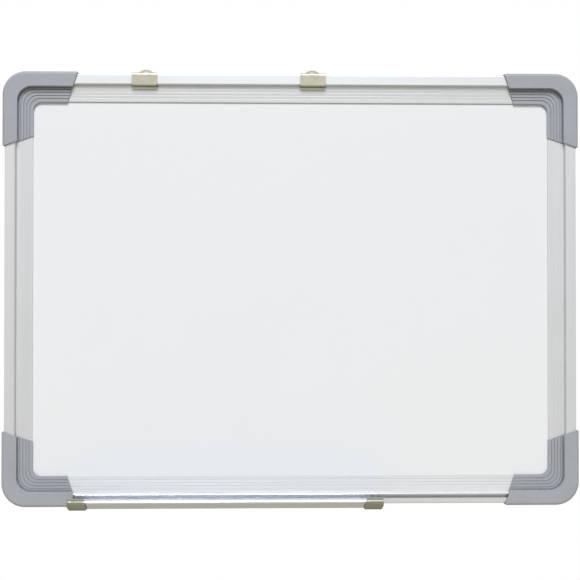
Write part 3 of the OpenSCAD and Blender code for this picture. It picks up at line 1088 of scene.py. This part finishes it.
def floor_material(stage):
    """A pale matt floor that fades out into the white studio at its rim."""
    material, tree, shader, where = new_finish("pale_floor")
    colour = stage.floor_colour
    radius = stage.floor_radius
    mottle = noise(tree, where, 6.0, detail=4.0)
    reach = shader_node(tree, "ShaderNodeVectorMath", {0: where}, operation="LENGTH")
    fading = (radius * FLOOR_FADE_END, radius * FLOOR_FADE_START)
    fill_sockets(
        tree,
        shader,
        {
            "Base Color": tinted(tree, mottle, scaled(colour, 0.98), scaled(colour, 1.02)),
            "Roughness": FLOOR_ROUGHNESS,
            "Alpha": spread(tree, reach.outputs["Value"], *fading),
        },
    )
    return material


def studio_world(stage):
    """A white studio to the camera, gloss and glass, and a dimmer fill light to matt surfaces."""
    world = bpy.data.worlds.new("studio")
    world.use_nodes = True
    tree = world.node_tree
    direction = shader_node(tree, "ShaderNodeTexCoord").outputs["Generated"]
    parts = shader_node(tree, "ShaderNodeSeparateXYZ", {0: direction}).outputs
    above = spread(tree, parts["Z"], -LEVEL_BLEND, LEVEL_BLEND)
    behind = maths(
        tree,
        "MULTIPLY",
        spread(tree, parts["Y"], *BEHIND_DEPTHS),
        spread(tree, parts["Z"], *BEHIND_HEIGHTS),
    )
    fill = tinted(tree, above, scaled(stage.fill_low, 1), scaled(stage.fill_high, 1))
    fill = tinted(tree, behind, fill, scaled(stage.fill_behind, 1))
    ray = shader_node(tree, "ShaderNodeLightPath").outputs
    gloss = maths(tree, "MAXIMUM", ray["Is Glossy Ray"], ray["Is Transmission Ray"])
    seen = maths(tree, "MAXIMUM", ray["Is Camera Ray"], gloss)
    light = tinted(tree, seen, fill, scaled(stage.backdrop_colour, 1))
    fill_sockets(tree, tree.nodes["Background"], {"Color": light})
    bpy.context.scene.world = world


def key_light(stage):
    """A soft box above and behind the camera, turned to the board."""
    level = stage.key_away * math.cos(stage.key_height)
    place = Vector(
        (
            -level * math.sin(stage.key_side),
            -level * math.cos(stage.key_side),
            stage.key_away * math.sin(stage.key_height),
        )
    )
    lamp = bpy.data.lights.new("key", "AREA")
    lamp.size = stage.key_size
    lamp.energy = stage.key_power
    holder = bpy.data.objects.new("key", lamp)
    holder.location = place
    holder.rotation_euler = (-place).to_track_quat("-Z", "Y").to_euler()
    bpy.context.scene.collection.objects.link(holder)


class WHITEBOARD_OT_stage(Operator):
    """Set up the camera, the pale floor and the soft studio light"""

    bl_idname = "whiteboard.stage"
    bl_label = "Studio"

    def execute(self, context):
        stage = context.scene.whiteboard_stage
        context.scene.view_settings.view_transform = "Standard"

        shape = bmesh.new()
        bmesh.ops.create_circle(
            shape, cap_ends=True, segments=FLOOR_SIDES, radius=stage.floor_radius
        )
        mesh = bpy.data.meshes.new("floor")
        shape.to_mesh(mesh)
        shape.free()
        mesh.materials.append(floor_material(stage))
        floor = bpy.data.objects.new("floor", mesh)
        floor.location = (0, -stage.floor_forward, -stage.floor_drop)
        context.scene.collection.objects.link(floor)

        studio_world(stage)
        key_light(stage)

        view = bpy.data.cameras.new("photo_view")
        view.sensor_width = SENSOR_WIDTH
        view.lens = stage.camera_lens
        view.clip_start = NEAREST_SEEN
        view.clip_end = FARTHEST_SEEN
        camera = bpy.data.objects.new("photo_view", view)
        camera.location = stage.camera_place
        camera.rotation_euler = (math.pi / 2 + stage.camera_rise, 0, -stage.camera_turn)
        context.scene.collection.objects.link(camera)
        context.scene.camera = camera
        return {"FINISHED"}


class WHITEBOARD_PT_sidebar(Panel):
    """The whiteboard's settings and steps"""

    bl_idname = "WHITEBOARD_PT_sidebar"
    bl_label = "Whiteboard"
    bl_space_type = "VIEW_3D"
    bl_region_type = "UI"
    bl_category = "Whiteboard"

    def draw(self, context):
        layout = self.layout
        for settings in (
            context.scene.whiteboard_finish,
            context.scene.whiteboard_edges,
            context.scene.whiteboard_stage,
        ):
            box = layout.box()
            for name in settings.bl_rna.properties.keys():
                if name not in {"rna_type", "name"}:
                    box.prop(settings, name)
        for step in STEPS:
            layout.operator(step.bl_idname)


STEPS = (
    WHITEBOARD_OT_panel_layers,
    WHITEBOARD_OT_rails,
    WHITEBOARD_OT_corner_caps,
    WHITEBOARD_OT_corner_screws,
    WHITEBOARD_OT_hangers,
    WHITEBOARD_OT_pen_tray,
    WHITEBOARD_OT_stage,
)
CLASSES = (WhiteboardFinish, WhiteboardEdges, WhiteboardStage, *STEPS, WHITEBOARD_PT_sidebar)


def register():
    for cls in CLASSES:
        bpy.utils.register_class(cls)
    bpy.types.Scene.whiteboard_finish = PointerProperty(type=WhiteboardFinish)
    bpy.types.Scene.whiteboard_edges = PointerProperty(type=WhiteboardEdges)
    bpy.types.Scene.whiteboard_stage = PointerProperty(type=WhiteboardStage)


def unregister():
    del bpy.types.Scene.whiteboard_stage
    del bpy.types.Scene.whiteboard_edges
    del bpy.types.Scene.whiteboard_finish
    for cls in reversed(CLASSES):
        bpy.utils.unregister_class(cls)


def main():
    register()
    bpy.ops.whiteboard.panel_layers()
    bpy.ops.whiteboard.rails()
    bpy.ops.whiteboard.corner_caps()
    bpy.ops.whiteboard.corner_screws()
    bpy.ops.whiteboard.hangers()
    bpy.ops.whiteboard.pen_tray()
    bpy.ops.whiteboard.stage()


if __name__ == "__main__":
    main()
